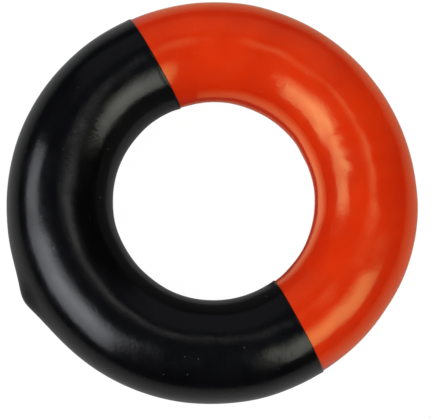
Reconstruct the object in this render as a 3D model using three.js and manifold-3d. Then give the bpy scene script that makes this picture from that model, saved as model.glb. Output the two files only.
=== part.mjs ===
// A ring weight that slides over a bat's barrel: a cast-iron ring in two coats of soft vinyl.
// The whole ring was dipped in orange, then a little over half of it in black.
//
// Units are millimetres. The origin is the centre of the ring, and +Z runs along the hole's axis.
// The ring hung on its edge for both dips, so "down" for the coats is a direction across the ring.
import * as THREE from "three";
import { mergeVertices } from "three/addons/utils/BufferGeometryUtils.js";
import Module from "manifold-3d";

const wasm = await Module();
wasm.setup();

// Driving dimensions of the ring.
const HOLE_DIAMETER = 50.8; // two inches, which stops on a bat's barrel and clears its handle
const OUTSIDE_DIAMETER = 101.6; // four inches
const ORANGE_THICKNESS = 2.0; // the first dip
const BLACK_AT_EDGE = 0.2; // how far the second dip stands proud where it starts
const BLACK_AT_BOTTOM = 0.7; // and at the lowest point it drained to
const FIT_GAP = 0.05; // between one layer and the next, so that the solids don't share a face

// The second dip. Azimuths are in degrees, counter-clockwise from +X seen from +Z.
const DRAIN_AZIMUTH = 208.2; // the side that hung lowest
const DRAIN_TILT = 3.5; // the ring hung this far out of the vertical
const DIP_LINE_ABOVE_CENTRE = 3.9; // how far past the ring's centre the black bath reached
const DRIP_HEIGHT = 1.9; // the drop that set at the lowest point, above the coat
const DRIP_HALF_LENGTH = 5.2; // half its length along the rim, at half its height
const DRIP_HALF_WIDTH = 3.4; // how far it reaches across the rim's width

// Marks of the casting and of the hook that the ring hung from.
const PARTING_RIDGE = 0.25; // what is left of the fin where the two mould halves met
const GATE_AZIMUTH = 118; // where the iron was poured in
const GATE_FLAT_DEPTH = 0.5; // the gate's stub was ground flat to this depth
const HOOK_MARK_DIAMETER = 2.6; // a bare spot in the orange coat, down to the iron
const HOOK_MARK_Z = -3.2;

// Facets. The count across the section leaves a level facet at the top and at the bottom,
// and a corner at the widest and at the narrowest diameter.
const AROUND_RING = 64;
const ACROSS_SECTION = 18;
const AROUND_HOOK_MARK = 16;

const PITCH_RADIUS = (OUTSIDE_DIAMETER + HOLE_DIAMETER) / 4;
const SECTION_RADIUS = (OUTSIDE_DIAMETER - HOLE_DIAMETER) / 4;
const CORE_SECTION_RADIUS = SECTION_RADIUS - ORANGE_THICKNESS;
const FACET_HALF_ANGLE = Math.PI / ACROSS_SECTION;
const HANG_AZIMUTH = DRAIN_AZIMUTH - 180;

const radians = THREE.MathUtils.degToRad;

// The direction that pointed down while the black coat drained.
const drain = new THREE.Vector3(
  Math.cos(radians(DRAIN_AZIMUTH)) * Math.cos(radians(DRAIN_TILT)),
  Math.sin(radians(DRAIN_AZIMUTH)) * Math.cos(radians(DRAIN_TILT)),
  -Math.sin(radians(DRAIN_TILT)),
);

// A closed geometry as a solid that can be joined and cut.
function toSolid(geometry) {
  const bare = geometry.clone();
  bare.deleteAttribute("normal");
  bare.deleteAttribute("uv");
  const merged = mergeVertices(bare, 1e-4);
  return new wasm.Manifold(
    new wasm.Mesh({
      numProp: 3,
      vertProperties: merged.attributes.position.array,
      triVerts: new Uint32Array(merged.index.array),
    }),
  );
}

function toGeometry(solid) {
  const mesh = solid.getMesh();
  const geometry = new THREE.BufferGeometry();
  geometry.setAttribute("position", new THREE.BufferAttribute(mesh.vertProperties, 3));
  geometry.setIndex(new THREE.BufferAttribute(mesh.triVerts, 1));
  geometry.computeVertexNormals();
  return geometry;
}

// The ring's round section, turned about the hole's axis. Its top and bottom facets lie at the
// section's full height. A ridge raises the corners at the widest and the narrowest diameter.
// The lathe starts at -Y, and the last turn brings its first corners to the lowest point.
function ringGeometry(sectionRadius, ridge = 0) {
  const outline = [];
  for (let i = 0; i <= ACROSS_SECTION; i += 1) {
    const angle = 2 * FACET_HALF_ANGLE * i;
    const onParting = i % (ACROSS_SECTION / 2) === 0;
    const reach = sectionRadius + (onParting ? ridge : 0);
    const across = PITCH_RADIUS + reach * Math.cos(angle);
    const up = (sectionRadius * Math.sin(angle)) / Math.cos(FACET_HALF_ANGLE);
    outline.push(new THREE.Vector2(across, up));
  }
  const ring = new THREE.LatheGeometry(outline, AROUND_RING);
  ring.rotateX(Math.PI / 2);
  ring.rotateZ(radians(DRAIN_AZIMUTH + 90));
  return ring;
}

// A box that reaches from a plane outwards: everything past `distance` along `direction`.
function spaceBeyond(direction, distance) {
  const size = 2 * OUTSIDE_DIAMETER;
  const box = new THREE.BoxGeometry(size, size, size);
  box.translate(0, 0, size / 2 + distance);
  const turn = new THREE.Quaternion().setFromUnitVectors(new THREE.Vector3(0, 0, 1), direction);
  box.applyQuaternion(turn);
  return toSolid(box);
}

// The cast ring, or the space it takes in the coat when it is grown by a gap.
function castRing(grown) {
  const gate = new THREE.Vector3(1, 0, 0).applyAxisAngle(
    new THREE.Vector3(0, 0, 1),
    radians(GATE_AZIMUTH),
  );
  const gateFlat = PITCH_RADIUS + CORE_SECTION_RADIUS - GATE_FLAT_DEPTH + grown;
  const ring = toSolid(ringGeometry(CORE_SECTION_RADIUS + grown, PARTING_RIDGE));
  return ring.subtract(spaceBeyond(gate, gateFlat));
}

// The hook's print: a round hole in the wall of the ring's hole, opposite the lowest point.
function hookMark() {
  const mark = new THREE.CylinderGeometry(
    HOOK_MARK_DIAMETER / 2,
    HOOK_MARK_DIAMETER / 2,
    CORE_SECTION_RADIUS,
    AROUND_HOOK_MARK,
  );
  mark.rotateZ(Math.PI / 2);
  mark.translate(PITCH_RADIUS - SECTION_RADIUS, 0, HOOK_MARK_Z);
  mark.rotateZ(radians(HANG_AZIMUTH));
  return toSolid(mark);
}

function orangeCoat() {
  return toSolid(ringGeometry(SECTION_RADIUS)).subtract(castRing(FIT_GAP)).subtract(hookMark());
}

// How far the black coat stands out at a point of the ring: thin at its edge, thicker further
// down, and with the drip on the rim at the lowest point.
function blackThickness(x, y, z) {
  const depth = x * drain.x + y * drain.y + DIP_LINE_ABOVE_CENTRE;
  const deepest = OUTSIDE_DIAMETER / 2 + DIP_LINE_ABOVE_CENTRE;
  const share = THREE.MathUtils.clamp(depth / deepest, 0, 1);
  const coat = THREE.MathUtils.lerp(BLACK_AT_EDGE, BLACK_AT_BOTTOM, share);

  const turn = Math.atan2(y, x) - radians(DRAIN_AZIMUTH);
  const along = (Math.atan2(Math.sin(turn), Math.cos(turn)) * OUTSIDE_DIAMETER) / 2;
  const onOutside = Math.hypot(x, y) > PITCH_RADIUS ? 1 : 0;
  const crest = DRIP_HEIGHT / (1 + (along / DRIP_HALF_LENGTH) ** 2);
  return coat + onOutside * crest * Math.exp(-((z / DRIP_HALF_WIDTH) ** 2));
}

// The black coat's outer surface. It thickens across the ring only, because the ring's two flat
// sides hung upright and drained: so its top and bottom facets stay level.
function blackSurface() {
  const ring = ringGeometry(SECTION_RADIUS);
  const position = ring.attributes.position;
  const heightScale = (SECTION_RADIUS + BLACK_AT_EDGE) / SECTION_RADIUS;
  for (let i = 0; i < position.count; i += 1) {
    const x = position.getX(i);
    const y = position.getY(i);
    const z = position.getZ(i);
    const radius = Math.hypot(x, y);
    const across = radius - PITCH_RADIUS;
    const grown = 1 + blackThickness(x, y, z) / SECTION_RADIUS;
    const newRadius = PITCH_RADIUS + across * grown;
    position.setXYZ(i, (x * newRadius) / radius, (y * newRadius) / radius, z * heightScale);
  }
  return ring;
}

function blackCoat() {
  const orangeSpace = toSolid(ringGeometry(SECTION_RADIUS + FIT_GAP));
  const bath = spaceBeyond(drain, -DIP_LINE_ABOVE_CENTRE);
  return toSolid(blackSurface()).subtract(orangeSpace).intersect(bath);
}

const CAST_IRON = new THREE.MeshStandardMaterial({ color: 0x4a4643, roughness: 0.75, metalness: 0.9 });
const ORANGE_VINYL = new THREE.MeshStandardMaterial({ color: 0xd03007, roughness: 0.25, metalness: 0 });
const BLACK_VINYL = new THREE.MeshStandardMaterial({ color: 0x0d0e11, roughness: 0.22, metalness: 0 });

const weight = new THREE.Group();

function addPiece(name, solid, material) {
  const mesh = new THREE.Mesh(toGeometry(solid), material);
  mesh.name = name;
  weight.add(mesh);
}

addPiece("iron_core", castRing(0), CAST_IRON);
addPiece("orange_coat", orangeCoat(), ORANGE_VINYL);
addPiece("black_coat", blackCoat(), BLACK_VINYL);

export default weight;
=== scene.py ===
# %% [markdown]
# # A dipped ring weight
#
# This weight slides over a bat's barrel. It is a cast-iron ring in soft vinyl, put on by dipping:
# the hot ring hangs from a hook, goes down into liquid vinyl, comes out coated and is baked.
# The first dip is orange and covers the whole ring. The second is black and covers a little over
# half, so the two colours meet where the surface of the black bath lay: on one flat plane.
#
# Everything that makes such a skin look real comes from the dipping. It swells and sags in slow
# lumps, its edge is a rounded bead, it is thicker where the liquid ran to, and the last drop sets
# at the lowest point. So the skins below are not painted rings: each is a thin closed shell with
# a rule that says how thick it is at every place.

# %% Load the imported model
import math

import bmesh
import bpy
import numpy as np
from mathutils import Matrix, Vector, noise


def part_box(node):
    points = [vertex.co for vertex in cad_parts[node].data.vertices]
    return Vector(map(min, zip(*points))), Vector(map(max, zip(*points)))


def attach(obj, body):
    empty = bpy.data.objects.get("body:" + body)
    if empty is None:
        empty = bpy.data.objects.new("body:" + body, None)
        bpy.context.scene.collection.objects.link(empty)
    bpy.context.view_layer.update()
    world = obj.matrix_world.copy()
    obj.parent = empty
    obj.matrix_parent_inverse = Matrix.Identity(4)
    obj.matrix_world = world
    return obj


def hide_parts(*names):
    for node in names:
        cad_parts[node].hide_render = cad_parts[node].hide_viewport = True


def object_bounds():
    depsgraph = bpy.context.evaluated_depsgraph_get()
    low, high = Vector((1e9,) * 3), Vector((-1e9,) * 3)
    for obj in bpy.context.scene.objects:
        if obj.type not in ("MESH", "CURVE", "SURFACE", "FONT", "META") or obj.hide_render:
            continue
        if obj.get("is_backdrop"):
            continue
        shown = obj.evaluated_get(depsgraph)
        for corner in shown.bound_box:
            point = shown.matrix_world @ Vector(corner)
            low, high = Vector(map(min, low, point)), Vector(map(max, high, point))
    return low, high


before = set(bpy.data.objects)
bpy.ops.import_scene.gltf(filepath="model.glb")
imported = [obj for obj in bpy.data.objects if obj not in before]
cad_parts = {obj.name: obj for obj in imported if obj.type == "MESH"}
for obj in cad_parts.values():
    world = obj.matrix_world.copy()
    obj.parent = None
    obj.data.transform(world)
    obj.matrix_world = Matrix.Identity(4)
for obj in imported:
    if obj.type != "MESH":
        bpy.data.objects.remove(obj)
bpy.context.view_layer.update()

print(len(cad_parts), "packed nodes")

# %% [markdown]
# ## Sizes
#
# The ring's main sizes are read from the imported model, so they can't drift from it: the orange
# coat's height is the section's diameter, and its width gives the pitch circle through the middle
# of the section. What the boxes can't say, such as which side hung lowest, is repeated here.

# %% Sizes in metres, angles in radians
MM = 0.001

orange_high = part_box("orange_coat")[1]
core_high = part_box("iron_core")[1]
black_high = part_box("black_coat")[1]

SECTION_RADIUS = orange_high.z
PITCH_RADIUS = orange_high.x - SECTION_RADIUS
RIM_RADIUS = PITCH_RADIUS + SECTION_RADIUS
HOLE_RADIUS = PITCH_RADIUS - SECTION_RADIUS
CORE_RADIUS = core_high.z
BLACK_AT_EDGE = black_high.z - orange_high.z

BLACK_AT_BOTTOM = 0.7 * MM
DRAIN_AZIMUTH = math.radians(208.2)  # the side that hung lowest for the black dip
DRAIN_TILT = math.radians(3.5)  # how far the ring hung out of the vertical
DIP_LINE_ABOVE_CENTRE = 3.9 * MM
HOOK_AZIMUTH = DRAIN_AZIMUTH - math.pi
HOOK_MARK_RADIUS = 1.3 * MM
HOOK_MARK_Z = -3.2 * MM
FIT_GAP = 0.05 * MM

print("pitch radius", round(PITCH_RADIUS / MM, 2), "section radius", round(SECTION_RADIUS / MM, 2))

# %% [markdown]
# ## Walking on the ring
#
# A point of a ring is given by two angles: the azimuth round the hole, and the angle round the
# section, which is 0 on the outside rim, a quarter turn on top and a half turn in the hole.
# A third number, the reach, is how far the point lies from the middle of the section. A skin is
# then only a rule for the reach, and numpy works it out for a whole grid of angles at once.
#
# The lumps use Blender's own smooth noise. A spacing and a height in millimetres are easier to
# judge against a real surface than a strength is.

# %% Points and lumps on the ring
def on_ring(azimuth, angle, reach):
    """Points of the ring, from the angle round the hole, the angle round the section and the reach."""
    across = PITCH_RADIUS + reach * np.cos(angle)
    return np.stack([across * np.cos(azimuth), across * np.sin(azimuth), reach * np.sin(angle)], -1)


def lumps(points, spacing, height, seed):
    """Smooth noise at each point: bumps about `spacing` apart, up to about `height` high."""
    scaled = points.reshape(-1, 3) / spacing + seed
    values = [noise.noise(point) for point in scaled.tolist()]
    return height * np.array(values).reshape(points.shape[:-1])


def turned(azimuth, centre):
    """The signed angle from `centre` to each azimuth, between minus and plus half a turn."""
    return (azimuth - centre + math.pi) % (2 * math.pi) - math.pi


# %% Meshes from closed grids
SHARP_EDGE = math.radians(50)  # faces that meet at less than this are shaded as one surface


def grid_faces(columns, rows, first=0):
    """Quads of a grid that closes on itself both ways."""
    column, row = np.meshgrid(np.arange(columns), np.arange(rows), indexing="ij")
    next_column = (column + 1) % columns
    next_row = (row + 1) % rows
    corners = [(column, row), (next_column, row), (next_column, next_row), (column, next_row)]
    return first + np.stack([c * rows + r for c, r in corners], -1).reshape(-1, 4)


def new_piece(name, points, faces):
    mesh = bpy.data.meshes.new(name)
    mesh.from_pydata(points.reshape(-1, 3).tolist(), [], faces.tolist())
    piece = bpy.data.objects.new(name, mesh)
    bpy.context.scene.collection.objects.link(piece)
    return piece


def finish_piece(piece, node):
    """Turns every face outwards, smooths the shading and ties the piece to the frame."""
    shell = bmesh.new()
    shell.from_mesh(piece.data)
    bmesh.ops.recalc_face_normals(shell, faces=shell.faces)
    open_edges = sum(not edge.is_manifold for edge in shell.edges)
    volume = shell.calc_volume(signed=True)
    shell.to_mesh(piece.data)
    shell.free()
    piece.data.polygons.foreach_set("use_smooth", [True] * len(piece.data.polygons))
    piece.data.set_sharp_from_angle(angle=SHARP_EDGE)
    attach(piece, "root")
    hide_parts(node)
    print(piece.name, len(piece.data.polygons), "faces,", round(volume / MM**3 / 1000, 2), "cm3,",
          open_edges, "open edges")


# %% [markdown]
# ## The iron casting
#
# Nobody sees the casting, except through the small bare spot that the hook left in the coat. It
# is still made as a caster would know it: a round ring from a two-part sand mould, so there is a
# low ridge where the halves met, a flat where the gate was ground off, and a grainy skin.

# %% Iron core
RIDGE_HEIGHT = 0.25 * MM
RIDGE_WIDTH = 0.5 * MM
GATE_AZIMUTH = math.radians(118)
GATE_FLAT_DEPTH = 0.5 * MM
GATE_FLAT = PITCH_RADIUS + CORE_RADIUS - GATE_FLAT_DEPTH
GRAIN_SPACING = 1.6 * MM
GRAIN_HEIGHT = 0.02 * MM
CORE_COLUMNS, CORE_ROWS = 256, 64


def core_points(azimuth, angle, grown):
    """The casting's surface, or the wall of the coat round it when it is grown by a gap."""
    from_parting = CORE_RADIUS * np.sin(angle)
    reach = CORE_RADIUS + grown + RIDGE_HEIGHT * np.exp(-((from_parting / RIDGE_WIDTH) ** 2))
    points = on_ring(azimuth, angle, reach)
    gate = np.array([math.cos(GATE_AZIMUTH), math.sin(GATE_AZIMUTH), 0])
    past_flat = np.maximum(points @ gate - GATE_FLAT - grown, 0)
    return points - past_flat[..., None] * gate


azimuth, angle = np.meshgrid(
    np.linspace(0, 2 * math.pi, CORE_COLUMNS, endpoint=False),
    np.linspace(0, 2 * math.pi, CORE_ROWS, endpoint=False), indexing="ij")
sand_grain = lumps(on_ring(azimuth, angle, CORE_RADIUS), GRAIN_SPACING, GRAIN_HEIGHT, seed=5)
core = new_piece("iron_casting", core_points(azimuth, angle, sand_grain - GRAIN_HEIGHT),
                 grid_faces(CORE_COLUMNS, CORE_ROWS))
finish_piece(core, "iron_core")

# %% [markdown]
# ## The orange coat
#
# A dipped coat is never quite even. Waves of four sizes shape it here, and they matter more than
# any colour: they are what bends a long highlight and gives it a lumpy edge. They are weaker on
# the rim, which drained freely, and weaker again where the hot black bath softened the orange.
# A few slow swells then put the thick and thin places where they belong: the wall of the hole, for
# one, is thickest beside the hook, which held some of the liquid up. In two spots on the slope
# into the hole the skin also wrinkled as it set.
#
# The coat is a true shell, with an inner wall against the iron. The hook's print is cut through
# both walls and its edge is bridged, so that the bare iron shows at the bottom of a round hole.

# %% The orange coat's waves, swells and wrinkles
WAVES = [  # spacing, height and seed of each
    (32 * MM, 0.45 * MM, 254),
    (15 * MM, 0.58 * MM, 108),
    (12 * MM, 0.25 * MM, 91),
    (6.5 * MM, 0.13 * MM, 155),
]
SKIN_OVER = 0.08 * MM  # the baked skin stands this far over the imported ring
CALM_RIM = 0.75  # the share of the waves that the rim loses, because it drained freely
MELTED_SHARE = 0.4  # how much of the waves is left where the hot black bath softened the orange
MELT_BORDER = 30 * MM  # the waves go from whole to melted over this distance
# Each swell: azimuth and section angle in degrees, height and half-length in millimetres.
SWELLS = [
    (348, 0, 0.45, 14),
    (28, 0, -0.28, 18),
    (132, 0, -0.2, 18),
    (192, 0, 0.17, 8),
    (268, 0, -0.25, 18),
    (300, 0, -0.17, 12),
    (20, 180, 0.2, 8),
    (68, 180, -0.12, 8),
    (176, 180, 0.12, 12),
    (336, 180, -0.24, 8),
]
# Spots on the slope into the hole where the skin wrinkled: azimuth and section angle in degrees.
WRINKLES = [(31, 118), (16, 112)]
WRINKLE_WAVE = (2.6 * MM, 0.15 * MM, 12)  # spacing, height and seed
WRINKLE_HALF_LENGTH = 4 * MM
print(len(WAVES), "waves,", len(SWELLS), "swells,", len(WRINKLES), "wrinkled spots")

# %% Orange surface
HOOK_LIP = 0.12 * MM  # the coat stands up a little round the hook's print
ELSEWHERE = 1.0  # metres, so further from the print than anything on the ring
hook_point = np.array([
    HOLE_RADIUS * math.cos(HOOK_AZIMUTH),
    HOLE_RADIUS * math.sin(HOOK_AZIMUTH),
    HOOK_MARK_Z,
])
hook_axis = np.array([math.cos(HOOK_AZIMUTH), math.sin(HOOK_AZIMUTH), 0])


def from_hook(points):
    """Distance of each point from the hook print's axis, on the hook's side of the hole."""
    apart = points - hook_point
    along = apart @ hook_axis
    aside = np.linalg.norm(apart - along[..., None] * hook_axis, axis=-1)
    return np.where(np.abs(along) < SECTION_RADIUS / 2, aside, ELSEWHERE)


def hill(points, azimuth, angle, half_length):
    """1 at one point of the ring's surface, falling off smoothly round it."""
    top = on_ring(math.radians(azimuth), math.radians(angle), SECTION_RADIUS)
    return np.exp(-((np.linalg.norm(points - top, axis=-1) / half_length) ** 2))


def orange_reach(azimuth, angle):
    """How far the orange surface lies from the middle of the section."""
    even = on_ring(azimuth, angle, SECTION_RADIUS)
    depth = np.cos(turned(azimuth, DRAIN_AZIMUTH)) * np.hypot(even[..., 0], even[..., 1])
    unmelted = np.clip(0.5 - depth / MELT_BORDER, 0, 1)
    waves = sum(lumps(even, *wave) for wave in WAVES)
    waves *= 1 - CALM_RIM * np.clip(np.cos(angle), 0, 1) ** 2
    reach = SECTION_RADIUS + SKIN_OVER + waves * (MELTED_SHARE + (1 - MELTED_SHARE) * unmelted)
    for swell_azimuth, swell_angle, height, half_length in SWELLS:
        reach += height * MM * hill(even, swell_azimuth, swell_angle, half_length * MM)
    wrinkled = sum(hill(even, *place, WRINKLE_HALF_LENGTH) for place in WRINKLES)
    reach += lumps(even, *WRINKLE_WAVE) * wrinkled
    lip = (from_hook(even) - HOOK_MARK_RADIUS) / HOOK_MARK_RADIUS
    return reach + HOOK_LIP * np.exp(-(lip**2))


# %% Orange shell
ORANGE_COLUMNS, ORANGE_ROWS = 370, 98
HOOK_GRID_REACH = 2.6 * HOOK_MARK_RADIUS  # half the width of the finer grid round the print
HOOK_STEPS = np.linspace(-1, 1, 25) * HOOK_GRID_REACH
hook_angle = math.pi + math.asin(-HOOK_MARK_Z / SECTION_RADIUS)

# Lines of the grid lie closer together round the hook's print, so that its edge is round.
columns = np.unique(np.concatenate([
    np.linspace(0, 2 * math.pi, ORANGE_COLUMNS, endpoint=False),
    HOOK_AZIMUTH + HOOK_STEPS / HOLE_RADIUS]))
rows = np.unique(np.concatenate([
    np.linspace(0, 2 * math.pi, ORANGE_ROWS, endpoint=False),
    hook_angle + HOOK_STEPS / SECTION_RADIUS]))
azimuth, angle = np.meshgrid(columns, rows, indexing="ij")
outside = on_ring(azimuth, angle, orange_reach(azimuth, angle))
inside = core_points(azimuth, angle, FIT_GAP)
orange = new_piece("orange_dip", np.concatenate([outside, inside]), np.concatenate([
    grid_faces(len(columns), len(rows)),
    grid_faces(len(columns), len(rows), first=outside.shape[0] * outside.shape[1])]))

# %% The hook's print
shell = bmesh.new()
shell.from_mesh(orange.data)
in_print = [face for face in shell.faces
            if from_hook(np.array(face.calc_center_median())) < HOOK_MARK_RADIUS]
bmesh.ops.delete(shell, geom=in_print, context="FACES")
rim_edges = [edge for edge in shell.edges if edge.is_boundary]
for vertex in {vertex for edge in rim_edges for vertex in edge.verts}:
    centre = hook_point + hook_axis * ((np.array(vertex.co) - hook_point) @ hook_axis)
    aside = np.array(vertex.co) - centre
    vertex.co = centre + aside * (HOOK_MARK_RADIUS / np.linalg.norm(aside))
bmesh.ops.bridge_loops(shell, edges=rim_edges)
print(len(in_print), "faces cut out,", len(rim_edges), "edges bridged")
shell.to_mesh(orange.data)
shell.free()
finish_piece(orange, "orange_coat")

# %% [markdown]
# ## The black coat
#
# The black skin lies on the orange one, so it starts from the same surface and adds a thickness.
# Seen along the ring, it begins in a rounded bead, as a liquid's edge does, and grows from there
# to the lowest point. It grows on the rim only, because the ring's two flat sides hung upright and
# drained clean, and so did the wall of the hole. The drop that set there last is a narrow hill
# that falls off quickly across the rim and has long tails along it.
#
# The grid's columns follow the dip line instead of cutting across it, and crowd together at the
# bead. Going along the outside and back along the inside closes the skin into one thin shell.

# %% The black coat's edge and thickness
BEAD_HEIGHT = 0.26 * MM
BEAD_WIDTH = 0.3 * MM
BEAD_TAIL = 0.8 * MM
BLACK_WAVE = (11 * MM, 0.06 * MM, 83)  # spacing, height and seed
WAVE_FADE_IN = 6.4 * MM  # the wave is nothing at the edge and whole this far in
DRIP_HEIGHT = 1.9 * MM
DRIP_HALF_LENGTH = 5.0 * MM
DRIP_HALF_WIDTH = 3.0 * MM
BATH_SWAY = 0.3 * MM  # the ring swung a little, so the line is askew where it left the bath last


def dip_line(angle, side):
    """Azimuth at which the bath's surface crossed the ring, on one side of the lowest point."""
    radius = PITCH_RADIUS + SECTION_RADIUS * np.cos(angle)
    height = SECTION_RADIUS * np.sin(angle)
    level = height * math.sin(DRAIN_TILT) - DIP_LINE_ABOVE_CENTRE
    half_arc = np.arccos(level / (radius * math.cos(DRAIN_TILT)))
    sway = BATH_SWAY * np.cos(angle) * (side < 0)
    return DRAIN_AZIMUTH + side * (half_arc - sway / radius)


def drip(azimuth, angle):
    """The drop that set at the lowest point, as a height over the coat."""
    along = turned(azimuth, DRAIN_AZIMUTH) * RIM_RADIUS
    across = SECTION_RADIUS * np.sin(angle)
    on_rim = np.cos(angle) > 0
    crest = DRIP_HEIGHT / (1 + (along / DRIP_HALF_LENGTH) ** 2)
    return on_rim * crest * np.exp(-((across / DRIP_HALF_WIDTH) ** 2))


def black_thickness(azimuth, angle, from_edge):
    """The black skin's thickness, a rounded bead at its edge and growing towards the drip."""
    even = on_ring(azimuth, angle, SECTION_RADIUS)
    down = np.cos(turned(azimuth, DRAIN_AZIMUTH)) * np.hypot(even[..., 0], even[..., 1])
    share = np.clip((down + DIP_LINE_ABOVE_CENTRE) / (RIM_RADIUS + DIP_LINE_ABOVE_CENTRE), 0, 1)
    on_rim = np.clip(np.cos(angle), 0, 1)
    coat = BLACK_AT_EDGE + (BLACK_AT_BOTTOM - BLACK_AT_EDGE) * share * on_rim
    past_bead = np.maximum(from_edge - BEAD_WIDTH, 0)
    bead = (BEAD_HEIGHT - BLACK_AT_EDGE) * np.exp(-((past_bead / BEAD_TAIL) ** 2))
    wave = lumps(even, *BLACK_WAVE) * np.clip(from_edge / WAVE_FADE_IN, 0, 1)
    rounding = np.sqrt(np.clip(1 - (1 - np.minimum(from_edge / BEAD_WIDTH, 1)) ** 2, 0, 1))
    return (coat + bead) * rounding + wave + drip(azimuth, angle)


# %% Black shell
BLACK_COLUMNS, BLACK_ROWS = 300, 144
# The columns that shape the bead, as distances from the skin's edge.
BEAD_STEPS = np.array([0, 0.02, 0.06, 0.12, 0.2, 0.3, 0.45, 0.65, 0.95, 1.4]) * MM
INNER_STEP = 6  # the hidden side needs only every sixth column
BOND = 0.01 * MM  # how far the black skin bites into the orange one

rows = np.linspace(0, 2 * math.pi, BLACK_ROWS, endpoint=False)
radius = PITCH_RADIUS + SECTION_RADIUS * np.cos(rows)
start, end = dip_line(rows, -1), dip_line(rows, 1)
middle_share = np.linspace(0, 1, BLACK_COLUMNS)[:, None]
middle_start = start + BEAD_STEPS[-1] / radius
middle_end = end - BEAD_STEPS[-1] / radius
azimuth = np.concatenate([
    start + BEAD_STEPS[:-1, None] / radius,
    middle_start + (middle_end - middle_start) * middle_share,
    end - BEAD_STEPS[-2::-1, None] / radius])
angle = np.broadcast_to(rows, azimuth.shape)
from_edge = np.minimum(azimuth - start, end - azimuth) * radius
ground = orange_reach(azimuth, angle) - BOND
outside = on_ring(azimuth, angle, ground + black_thickness(azimuth, angle, from_edge))
back = slice(-2, 0, -INNER_STEP)  # the way back, from the far edge to the near one
inside = on_ring(azimuth[back], angle[back], ground[back])
black = new_piece("black_dip", np.concatenate([outside, inside]),
                  grid_faces(len(outside) + len(inside), BLACK_ROWS))
finish_piece(black, "black_coat")
furthest = np.hypot(outside[..., 0], outside[..., 1]).max()
print("rim with the drip", round(furthest / MM, 2), "mm from the axis")

# %% [markdown]
# ## Materials
#
# One function turns a colour picker's sRGB value into the linear numbers that the shader works
# in, and one adds a node with its settings, values and links.

# %% Colour and node helpers
def linear(srgb_hex):
    """A colour picker's #rrggbb as the linear numbers that the shader works in."""
    channels = [int(srgb_hex[i:i + 2], 16) / 255 for i in (1, 3, 5)]
    low = [c / 12.92 if c <= 0.04045 else ((c + 0.055) / 1.055) ** 2.4 for c in channels]
    return (*low, 1.0)


def add_node(tree, kind, values=None, links=None, **settings):
    """Adds one node. `values` and `links` name the input sockets, or give their numbers."""
    made = tree.nodes.new(kind)
    for setting, value in settings.items():
        setattr(made, setting, value)
    for socket, value in (values or {}).items():
        made.inputs[socket].default_value = value
    for socket, source in (links or {}).items():
        tree.links.new(source, made.inputs[socket])
    return made


def new_material(name):
    material = bpy.data.materials.new(name)
    material.use_nodes = True
    material.node_tree.nodes.clear()
    return material, material.node_tree


print("orange pigment in linear light", [round(channel, 3) for channel in linear("#d62900")[:3]])

# %% [markdown]
# ### Soft vinyl, dipped and baked
#
# The liquid is PVC paste, called plastisol. Baked, it is a smooth, slightly soft skin with the
# gloss of the liquid it was. It has no grain of a mould, only a faint ripple a few millimetres
# long with finer ripples on it. Sparse grains of dust and a few pits, left by bubbles that burst
# in the oven, break the surface up when seen close. Dust is finer than this on the real skin, but
# a grain has to be drawn about 0.4 mm wide to show at all.

# %% Vinyl's pigment and relief
RIPPLE_LENGTH = 3.2 * MM
RIPPLE_HEIGHT = 0.06 * MM
CLOUD_SIZE = 14 * MM
DUST_SPACING = 3.5 * MM
DUST_RADIUS = 0.2 * MM
DUST_COLOUR = "#8c8880"
DUST_COVER = 0.35  # how much of the pigment a grain hides
PIT_SPACING = 12 * MM
PIT_RADIUS = 0.4 * MM
PIT_DEPTH = 0.08 * MM


def vinyl_colour(tree, place, shades):
    """Two close shades of the pigment in slow clouds, with grains of dust on top."""
    clouds = add_node(tree, "ShaderNodeTexNoise", {"Scale": 1 / CLOUD_SIZE, "Detail": 3.0},
                      {"Vector": place})
    pigment = add_node(tree, "ShaderNodeValToRGB", None, {"Fac": clouds.outputs["Fac"]})
    for stop, position, shade in zip(pigment.color_ramp.elements, (0.35, 0.65), shades):
        stop.position = position
        stop.color = linear(shade)
    specks = add_node(tree, "ShaderNodeTexVoronoi", {"Scale": 1 / DUST_SPACING}, {"Vector": place})
    dust = add_node(tree, "ShaderNodeMapRange",
                    {"From Max": DUST_RADIUS / DUST_SPACING, "To Min": DUST_COVER, "To Max": 0.0},
                    {"Value": specks.outputs["Distance"]})
    dusty = add_node(tree, "ShaderNodeMix", {"B": linear(DUST_COLOUR)},
                     {"Factor": dust.outputs["Result"], "A": pigment.outputs["Color"]},
                     data_type="RGBA")
    return dusty.outputs["Result"]


def vinyl_relief(tree, place):
    """The ripple of the skin, and a small pit here and there."""
    ripple = add_node(tree, "ShaderNodeTexNoise",
                      {"Scale": 1 / RIPPLE_LENGTH, "Detail": 4.0, "Roughness": 0.75},
                      {"Vector": place})
    skin = add_node(tree, "ShaderNodeBump", {"Distance": RIPPLE_HEIGHT},
                    {"Height": ripple.outputs["Fac"]})
    bubbles = add_node(tree, "ShaderNodeTexVoronoi", {"Scale": 1 / PIT_SPACING}, {"Vector": place})
    hollow = add_node(tree, "ShaderNodeMapRange", {"From Max": PIT_RADIUS / PIT_SPACING},
                      {"Value": bubbles.outputs["Distance"]})
    pitted = add_node(tree, "ShaderNodeBump", {"Distance": PIT_DEPTH},
                      {"Height": hollow.outputs["Result"], "Normal": skin.outputs["Normal"]})
    return pitted.outputs["Normal"]


# %% [markdown]
# PVC bends light by 1.53. The gloss is a little blurred, and not evenly, because a soft skin picks
# up handling marks: that is what the noise in the roughness is for.
#
# The orange is a strong opaque pigment, so it needs no light inside it. Its gloss is set a
# little stronger than plain vinyl's and faintly yellow, which turns the highlights a warm
# salmon: with white ones they look chalky. The black reads as black only because it is glossy:
# nearly all of what is seen on it is reflected light.

# %% Vinyl materials
VINYL_IOR = 1.53
BLUR_SIZE = 5 * MM


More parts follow.
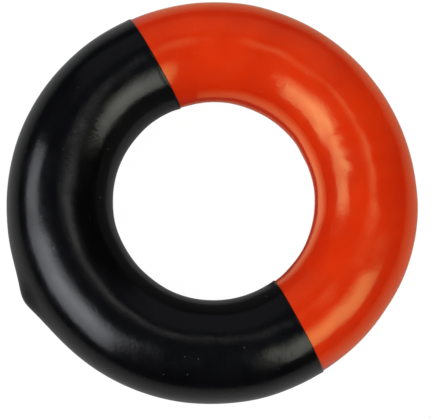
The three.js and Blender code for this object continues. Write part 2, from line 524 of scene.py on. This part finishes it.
def dipped_vinyl(name, shades, gloss, blurred_gloss, shine):
    """Baked plastisol whose roughness wanders between `gloss` and `blurred_gloss`."""
    material, tree = new_material(name)
    place = add_node(tree, "ShaderNodeTexCoord").outputs["Object"]
    marks = add_node(tree, "ShaderNodeTexNoise", {"Scale": 1 / BLUR_SIZE, "Detail": 4.0},
                     {"Vector": place})
    blur = add_node(tree, "ShaderNodeMapRange",
                    {"From Min": 0.3, "From Max": 0.7, "To Min": gloss, "To Max": blurred_gloss},
                    {"Value": marks.outputs["Fac"]})
    surface = add_node(tree, "ShaderNodeBsdfPrincipled", {"IOR": VINYL_IOR, **shine},
                       {"Base Color": vinyl_colour(tree, place, shades),
                        "Roughness": blur.outputs["Result"],
                        "Normal": vinyl_relief(tree, place)})
    add_node(tree, "ShaderNodeOutputMaterial", None, {"Surface": surface.outputs["BSDF"]})
    print(name, "has", len(tree.nodes), "nodes, roughness", gloss, "to", blurred_gloss)
    return material


warm_shine = {"Specular Tint": linear("#fff79c"), "Specular IOR Level": 0.8}
orange.data.materials.append(
    dipped_vinyl("orange_plastisol", ("#d62900", "#ca2200"), 0.13, 0.2, warm_shine))
black.data.materials.append(
    dipped_vinyl("black_plastisol", ("#030303", "#040405"), 0.16, 0.24, {}))

# %% [markdown]
# ### Grey cast iron
#
# As it leaves the sand, cast iron is dark and dull, with a skin of burnt-on oxide between bright
# grains. It is a metal, so its colour is in its reflection, and its roughness is high.

# %% Cast iron material
GRAIN_SIZE = 0.9 * MM
GRAIN_DEPTH = 0.08 * MM

cast_iron, tree = new_material("sand_cast_iron")
place = add_node(tree, "ShaderNodeTexCoord").outputs["Object"]
grain = add_node(tree, "ShaderNodeTexNoise", {"Scale": 1 / GRAIN_SIZE, "Detail": 5.0},
                 {"Vector": place})
oxide = add_node(tree, "ShaderNodeValToRGB", None, {"Fac": grain.outputs["Fac"]})
for stop, position, shade in zip(oxide.color_ramp.elements, (0.35, 0.7), ("#2b2725", "#77726d")):
    stop.position = position
    stop.color = linear(shade)
dullness = add_node(tree, "ShaderNodeMapRange", {"To Min": 0.8, "To Max": 0.5},
                    {"Value": grain.outputs["Fac"]})
relief = add_node(tree, "ShaderNodeBump", {"Distance": GRAIN_DEPTH}, {"Height": grain.outputs["Fac"]})
surface = add_node(tree, "ShaderNodeBsdfPrincipled", {"Metallic": 1.0},
                   {"Base Color": oxide.outputs["Color"], "Roughness": dullness.outputs["Result"],
                    "Normal": relief.outputs["Normal"]})
add_node(tree, "ShaderNodeOutputMaterial", None, {"Surface": surface.outputs["BSDF"]})
core.data.materials.append(cast_iron)
print(cast_iron.name, "has", len(tree.nodes), "nodes")

# %% [markdown]
# ## Floor and backdrop
#
# A product shot on white is lit so that the ground burns out to paper white, while the object
# itself reflects something calmer. The trick is to split the ground in two. What the camera sees
# is a pale sheet that glows almost to white, and behind it a pale dome. What the vinyl sees is a
# small grey card just under the sheet. Blender can hide a thing from one kind of ray and show it
# to another, which is how each is kept for its own job.

# %% Things of the stage
FLOOR_SIZE = 5.0
DOME_RADIUS = 2.8
ground_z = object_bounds()[0].z


def seen_by(thing, camera=False, gloss=False, diffuse=False):
    """Marks a thing as stage, and says which rays see it."""
    thing.visible_camera = camera
    thing.visible_glossy = gloss
    thing.visible_diffuse = diffuse
    thing.visible_transmission = False
    thing.visible_shadow = False
    thing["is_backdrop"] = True


def stage_material(name, colour, glow):
    material, tree = new_material(name)
    surface = add_node(tree, "ShaderNodeBsdfPrincipled", {
        "Base Color": linear(colour), "Roughness": 0.9, "Specular IOR Level": 0.0,
        "Emission Color": linear("#ffffff"), "Emission Strength": glow})
    add_node(tree, "ShaderNodeOutputMaterial", None, {"Surface": surface.outputs["BSDF"]})
    return material, tree, surface


# %% Floor and backdrop
bpy.ops.mesh.primitive_plane_add(size=FLOOR_SIZE, location=(0, 0, ground_z))
floor = bpy.context.object
floor.name = "pale_floor"
floor.data.materials.append(stage_material("pale_floor", "#303030", 0.985)[0])
seen_by(floor, camera=True)

bpy.ops.mesh.primitive_uv_sphere_add(segments=48, ring_count=24, radius=DOME_RADIUS)
backdrop = bpy.context.object
backdrop.name = "pale_backdrop"
backdrop.data.materials.append(stage_material("pale_backdrop", "#000000", 1.0)[0])
seen_by(backdrop, camera=True)
print("floor at", round(ground_z / MM, 2), "mm")

# %% [markdown]
# The grey card is lit by the same lamps as the ring and shaded by it. Light is also painted into
# its colour: it is painted paler and warmer on the orange side, a painted warm bounce off the
# orange, so that the orange rim stays warm where it mirrors the card, and it is painted darker
# outwards, a painted falloff as a table darkens away from its lamp.

# %% Grey card
CARD_RADIUS = 0.17
CARD_DROP = 0.2 * MM  # how far it lies under the floor, so that the two never mix
# Painted falloff: the card's colour is painted darker outwards, in place of light falling off away from
# the lamps.
CARD_PAINTED_FALLOFF = (0.06, 0.12)  # where the card starts to fade and where it is half as bright
# Painted bounce: the warm side's colour stands in for light bounced off the orange.
CARD_SEAM = (-0.25, -0.1)  # warm before the first, grey after the second: cosines from the low side

bpy.ops.mesh.primitive_circle_add(vertices=96, radius=CARD_RADIUS, fill_type="NGON",
                                  location=(0, 0, ground_z - CARD_DROP))
card = bpy.context.object
card.name = "grey_card"
material, tree, surface = stage_material("grey_card", "#808080", 0.0)
place = add_node(tree, "ShaderNodeTexCoord").outputs["Object"]
direction = add_node(tree, "ShaderNodeVectorMath", None, {0: place}, operation="NORMALIZE")
down = (math.cos(DRAIN_AZIMUTH), math.sin(DRAIN_AZIMUTH), 0)
depth = add_node(tree, "ShaderNodeVectorMath", {1: down}, {0: direction.outputs["Vector"]},
                 operation="DOT_PRODUCT")
side = add_node(tree, "ShaderNodeMapRange", {"From Min": CARD_SEAM[0], "From Max": CARD_SEAM[1]},
                {"Value": depth.outputs["Value"]})
# Grey, and on the orange side a painted warm bounce.
tone = add_node(tree, "ShaderNodeValToRGB", None, {"Fac": side.outputs["Result"]})
tone.color_ramp.elements[0].color = linear("#d8b697")
tone.color_ramp.elements[1].color = linear("#a4a4a4")
reach = add_node(tree, "ShaderNodeVectorMath", None, {0: place}, operation="LENGTH")
# Painted falloff: darker outwards, as shade away from the lamps.
fade = add_node(tree, "ShaderNodeMapRange",
                {"From Min": CARD_PAINTED_FALLOFF[0], "From Max": CARD_PAINTED_FALLOFF[1], "To Min": 1.0, "To Max": 0.5},
                {"Value": reach.outputs["Value"]})
painted_falloff_colour = add_node(tree, "ShaderNodeVectorMath", None,
                 {0: tone.outputs["Color"], "Scale": fade.outputs["Result"]}, operation="SCALE")
tree.links.new(painted_falloff_colour.outputs["Vector"], surface.inputs["Base Color"])
card.data.materials.append(material)
seen_by(card, gloss=True, diffuse=True)
print("card", round(2 * CARD_RADIUS / MM), "mm across under a ring of", round(2 * RIM_RADIUS / MM), "mm")

# %% [markdown]
# ## Lights
#
# A softbox is brighter round its lamp than at its border, and on a glossy ring that matters: it
# gives a highlight a bright heart and a softer rest. So every light here is a sheet whose glow
# falls off with the distance from a hot spot, by the rule 1 / (1 + (distance / spread) squared).

# %% A glow with a hot spot
def glow_material(name, colour, glow, hot_spot, spread):
    """Emission that falls to half its strength at the distance `spread` from the hot spot."""
    material, tree = new_material(name)
    place = add_node(tree, "ShaderNodeTexCoord").outputs["Object"]
    apart = add_node(tree, "ShaderNodeVectorMath", {1: hot_spot}, {0: place}, operation="DISTANCE")
    share = add_node(tree, "ShaderNodeMath", {1: spread}, {0: apart.outputs["Value"]},
                     operation="DIVIDE")
    square = add_node(tree, "ShaderNodeMath", {1: 2.0}, {0: share.outputs["Value"]},
                      operation="POWER")
    fall = add_node(tree, "ShaderNodeMath", {1: 1.0}, {0: square.outputs["Value"]},
                    operation="ADD")
    strength = add_node(tree, "ShaderNodeMath", {0: glow}, {1: fall.outputs["Value"]},
                        operation="DIVIDE")
    light = add_node(tree, "ShaderNodeEmission", {"Color": linear(colour)},
                     {"Strength": strength.outputs["Value"]})
    add_node(tree, "ShaderNodeOutputMaterial", None, {"Surface": light.outputs["Emission"]})
    return material


# %% [markdown]
# The softboxes stand upright round the ring, one on its left, one on its right and a small
# window beside the left one. A pale wall and a black flag stand further off. They light nothing,
# and are only there to be mirrored: they make the quiet tones between the highlights.

# %% Softboxes, wall and flag
def upright_panel(name, azimuth, distance, width, low, high, glow, hot_height, spread, colour,
                  lights_diffuse=True):
    """A standing rectangle that faces the ring's axis, with its hot spot at `hot_height`."""
    bpy.ops.mesh.primitive_plane_add(size=1)
    panel = bpy.context.object
    panel.name = name
    x, y = width / 2, (high - low) / 2
    corners = [(-x, -y, 0), (x, -y, 0), (-x, y, 0), (x, y, 0)]
    for vertex, corner in zip(panel.data.vertices, corners):
        vertex.co = corner
    azimuth = math.radians(azimuth)
    panel.rotation_euler = (math.pi / 2, 0, azimuth + math.pi / 2)
    panel.location = (distance * math.cos(azimuth), distance * math.sin(azimuth), (low + high) / 2)
    hot_spot = (0, hot_height - (low + high) / 2, 0)
    panel.data.materials.append(glow_material(name, colour, glow, hot_spot, spread))
    seen_by(panel, gloss=True, diffuse=lights_diffuse)
    print(name, round(width, 2), "m wide,", round(high - low, 2), "m high")


upright_panel("left_softbox", 204, 1.0, 1.08, 0.25, 3.0, 4.3, 0.97, 0.66, "#f6f8ff")
upright_panel("left_window", 164.5, 1.0, 0.33, 0.27, 0.92, 2.7, 0.6, 0.6, "#f6f8ff")
upright_panel("right_softbox", 322, 1.0, 0.97, 0.44, 2.5, 2.6, 0.98, 0.7, "#fdfff2")
upright_panel("pale_wall", 92, 1.2, 1.7, 0.25, 1.9, 0.17, 1.0, 9.0, "#eef0ff", False)
upright_panel("black_flag", 15, 1.2, 1.7, -0.2, 1.9, 0.01, 1.0, 9.0, "#ffffff", False)

# %% [markdown]
# The wall of the hole mirrors whatever stands in the hole, so cards are bent into a tube there.
# The dark tube is painted shade: a dark sheet mirrored in place of the orange wall, whose lower
# part lies in shade, so it keeps that wall from showing as a red line in the black one. The collars
# round it are painted reflection, glowing cards that are no lamps: they draw the pale line along
# the edge of the hole, warm on the orange side as a painted warm bounce off the orange.

# %% Cards in the hole
TUBE_RADIUS = 20 * MM
COLLAR_RADIUS = 20.2 * MM
EVEN = ((0, 0, 0), 1.0)  # a hot spot so wide that a small card glows the same all over


def curved_card(name, radius, low, high, first, last, glow, colour, hot_spot, spread):
    """A strip bent round the hole's axis from azimuth `first` to `last`, seen only in the gloss."""
    azimuth = np.radians(np.linspace(first, last, 49))
    edges = [np.stack([radius * np.cos(azimuth), radius * np.sin(azimuth),
                       np.full(azimuth.shape, height)], -1) for height in (low, high)]
    count = len(azimuth)
    faces = [(i, i + 1, count + i + 1, count + i) for i in range(count - 1)]
    card = new_piece(name, np.concatenate(edges), np.array(faces))
    card.data.materials.append(glow_material(name, colour, glow, hot_spot, spread))
    seen_by(card, gloss=True)
    print(name, "from", round(low / MM, 1), "to", round(high / MM, 1), "mm")


# Painted shade: a dark sheet mirrored where the shaded lower hole would show.
curved_card("painted_shade_tube", TUBE_RADIUS, ground_z, 10.5 * MM, 0, 360, 0.06, "#ffffff", *EVEN)
# Painted reflection: a grey glowing card for the pale line on the black side of the hole.
curved_card("grey_painted_reflection_collar", COLLAR_RADIUS, ground_z, 2.5 * MM, 110, 305, 0.2, "#ffffff", *EVEN)
# Painted reflection: warm glowing cards, their warmth a painted bounce off the orange.
for low, high, glow in ((-2.5, 2.8, 1.9), (2.8, 4.8, 1.0)):
    curved_card("warm_painted_reflection_collar", COLLAR_RADIUS, low * MM, high * MM, -52, 98, glow, "#ffcfa8",
                (18 * MM, 6 * MM, 2 * MM), 18 * MM)

# %% [markdown]
# A strip light hangs overhead, behind the ring. The orange is lit evenly all round by the world,
# which only the diffuse light sees. The gloss sees a dim room instead, or the black would turn
# grey.

# %% Strip light, dim room and fill
FILL_STRENGTH = 0.8

bpy.ops.mesh.primitive_plane_add(size=1, location=(0.42, 0.28, 1.4),
                                 rotation=(0, 0, math.radians(-24)))
strip = bpy.context.object
strip.name = "strip_light"
strip.scale = (0.95, 0.38, 1)
strip.data.materials.append(glow_material("strip_light", "#ffffff", 1.5, (-0.07, 0, 0), 0.26))
seen_by(strip, gloss=True, diffuse=True)

bpy.ops.mesh.primitive_uv_sphere_add(segments=48, ring_count=24, radius=DOME_RADIUS - 0.1)
room = bpy.context.object
room.name = "dim_room"
room.data.materials.append(glow_material("dim_room", "#d8e0ff", 0.07, (0, 0, 2.0), 3.0))
seen_by(room, gloss=True)

world = bpy.data.worlds.new("even_fill")
world.use_nodes = True
world.node_tree.nodes["Background"].inputs["Color"].default_value = linear("#ffffff")
world.node_tree.nodes["Background"].inputs["Strength"].default_value = FILL_STRENGTH
world.cycles_visibility.glossy = False
world.cycles_visibility.camera = False
bpy.context.scene.world = world
print("strip light at", strip.location.z, "m, fill", FILL_STRENGTH)

# %% [markdown]
# ## Camera
#
# The camera looks almost straight down, from a little in front, through a long lens. A long
# lens flattens the ring, so its hole stays as round as it is.

# %% Camera
CAMERA_AZIMUTH = math.radians(-3.5)  # 0 is in front, on the -Y side
CAMERA_ELEVATION = math.radians(78.7)
CAMERA_DISTANCE = 0.95
LENS_MM = 317.5
FAR_CLIP = 10
AIM = Vector((0.59, -2.02, 0)) * MM  # the point it looks at, a little in front of the ring's centre

back = Vector((math.sin(CAMERA_AZIMUTH) * math.cos(CAMERA_ELEVATION),
               -math.cos(CAMERA_AZIMUTH) * math.cos(CAMERA_ELEVATION),
               math.sin(CAMERA_ELEVATION)))
right = Vector((0, 1, 0)).cross(back).normalized()
up = back.cross(right)
camera = bpy.data.objects.new("camera", bpy.data.cameras.new("camera"))
bpy.context.scene.collection.objects.link(camera)
camera.data.lens = LENS_MM
camera.data.clip_end = FAR_CLIP
turn = Matrix((right, up, back)).transposed().to_4x4()
camera.matrix_world = Matrix.Translation(AIM + back * CAMERA_DISTANCE) @ turn
bpy.context.scene.camera = camera
bpy.context.scene.view_settings.view_transform = "Standard"
print("camera", round(camera.matrix_world.translation.z, 3), "m up, lens", LENS_MM, "mm")

# %% [markdown]
#
# The skins may stand a little proud of the imported solids, but the weight's size is fixed by
# them. The visual box is printed.

# %% Print the visual box and finish
low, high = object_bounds()
print("visual box", [round(side / MM, 2) for side in high - low], "mm")
